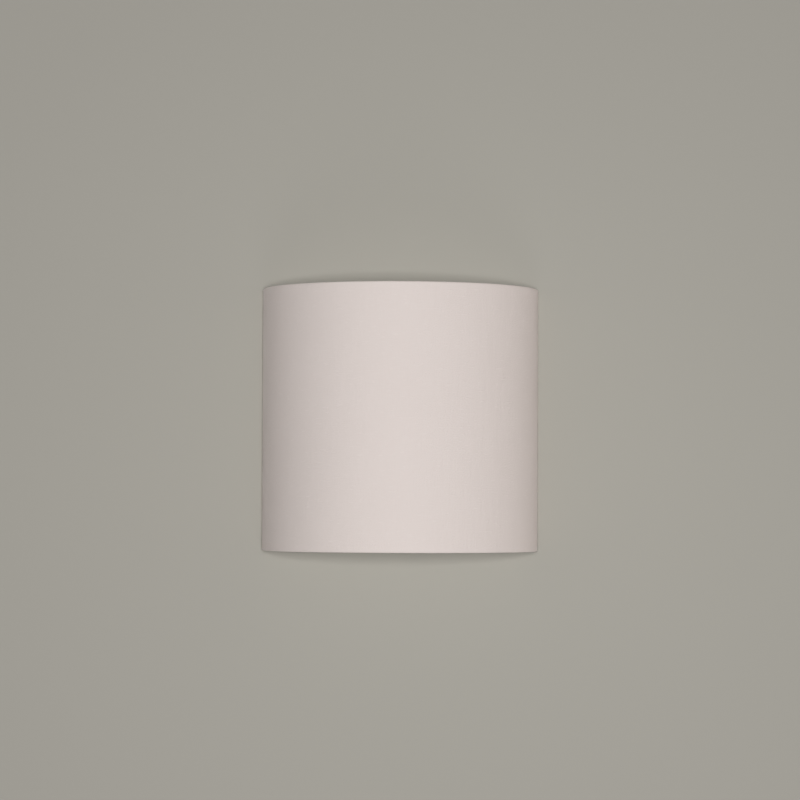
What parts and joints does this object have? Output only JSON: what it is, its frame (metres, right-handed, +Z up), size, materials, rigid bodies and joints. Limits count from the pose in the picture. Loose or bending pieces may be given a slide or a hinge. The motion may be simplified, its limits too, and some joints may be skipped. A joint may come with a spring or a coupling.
{
  "type": "wall light",
  "caption": "Half-drum fabric shade wall light: rolled-edge cloth over a wire frame hung on a steel back plate, with lampholder, bulb and wiring.",
  "frame": {"origin": "on the wall plane, midway between the two wall fixings and at half the height of the shade", "axes": "+X to the right seen from the room, +Y out of the room into the wall, +Z up; the light stands out towards -Y"},
  "size_m": [0.254, 0.1312, 0.241],
  "materials": {
    "oyster_cloth": "smooth fine plain weave with a faint upright slub",
    "white_liner": "smooth matt lampshade lining",
    "white_wire": "powder coated wire",
    "grey_felt": "pressed felt",
    "zinc_steel": "bright zinc plate",
    "white_powder_coat": "satin powder coat",
    "nickel_screw": "nickel plate",
    "rivet_aluminium": "plain",
    "brass": "turned and plain",
    "white_plastic": "moulded, semi-gloss",
    "steatite": "unglazed",
    "bush_plastic": "moulded",
    "terminal_plastic": "moulded, natural",
    "black_rubber": "moulded",
    "brown_lead": "insulated lead",
    "blue_lead": "insulated lead",
    "green_yellow_lead": "insulated lead, green with a yellow stripe",
    "tinned_copper": "tin plate",
    "black_insulator": "moulded",
    "bulb_nickel": "nickel plate",
    "bulb_white": "moulded",
    "opal_globe": "frosted opal",
    "board_white": "coated board",
    "led_yellow": "phosphor"
  },
  "bodies": {
    "fixture": {"wall_strap": "zinc_steel", "back_plate": "white_powder_coat", "plate_screws": "nickel_screw", "hanging_lips": "zinc_steel", "lip_rivets": "rivet_aluminium", "lampholder_arm": "white_powder_coat", "arm_screws": "nickel_screw", "arm_nuts": "zinc_steel", "threaded_nipple": "zinc_steel", "nipple_nut": "zinc_steel", "tooth_washer": "zinc_steel", "nipple_bush": "bush_plastic", "holder_cap": "white_plastic", "holder_skirt": "white_plastic", "contact_block": "steatite", "screw_shell": "brass", "centre_contact": "brass", "terminal_block": "terminal_plastic", "terminal_inserts": "brass", "terminal_screws": "zinc_steel", "terminal_block_screw": "zinc_steel", "lead_grommet": "black_rubber", "live_lead": "brown_lead", "neutral_lead": "blue_lead", "earth_lead": "green_yellow_lead", "earth_tag": "tinned_copper", "earth_screw": "brass", "earth_nut": "brass"},
    "shade": {"fabric_cover": "oyster_cloth", "shade_liner": "white_liner", "top_frame_wire": "white_wire", "bottom_frame_wire": "white_wire", "left_upright_wire": "white_wire", "right_upright_wire": "white_wire", "hanging_bar": "white_wire", "wall_pads": "grey_felt"},
    "bulb_contact": {"bulb_tip": "tinned_copper"},
    "bulb": {"bulb_insulator": "black_insulator", "bulb_cap": "bulb_nickel", "bulb_collar": "bulb_white", "bulb_globe": "opal_globe", "led_board": "board_white", "led_chips": "led_yellow"}
  },
  "joints": [
    {"name": "shade_lift", "type": "slide", "parent": "fixture", "child": "shade", "axis": [0, 0, 1], "range_m": [0, 0.23]},
    {"name": "bulb_rise", "type": "slide", "parent": "fixture", "child": "bulb_contact", "axis": [0, 0, 1], "range_m": [0, 0.02544]},
    {"name": "bulb_turn", "type": "hinge", "parent": "bulb_contact", "child": "bulb", "pos_m": [0, -0.064, 0], "axis": [0, 0, 1], "range_deg": [0, 2520]}
  ],
  "couplings": [
    {"joint": "bulb_rise", "follows": "bulb_turn", "m_per_rad": 0.00057614}
  ]
}
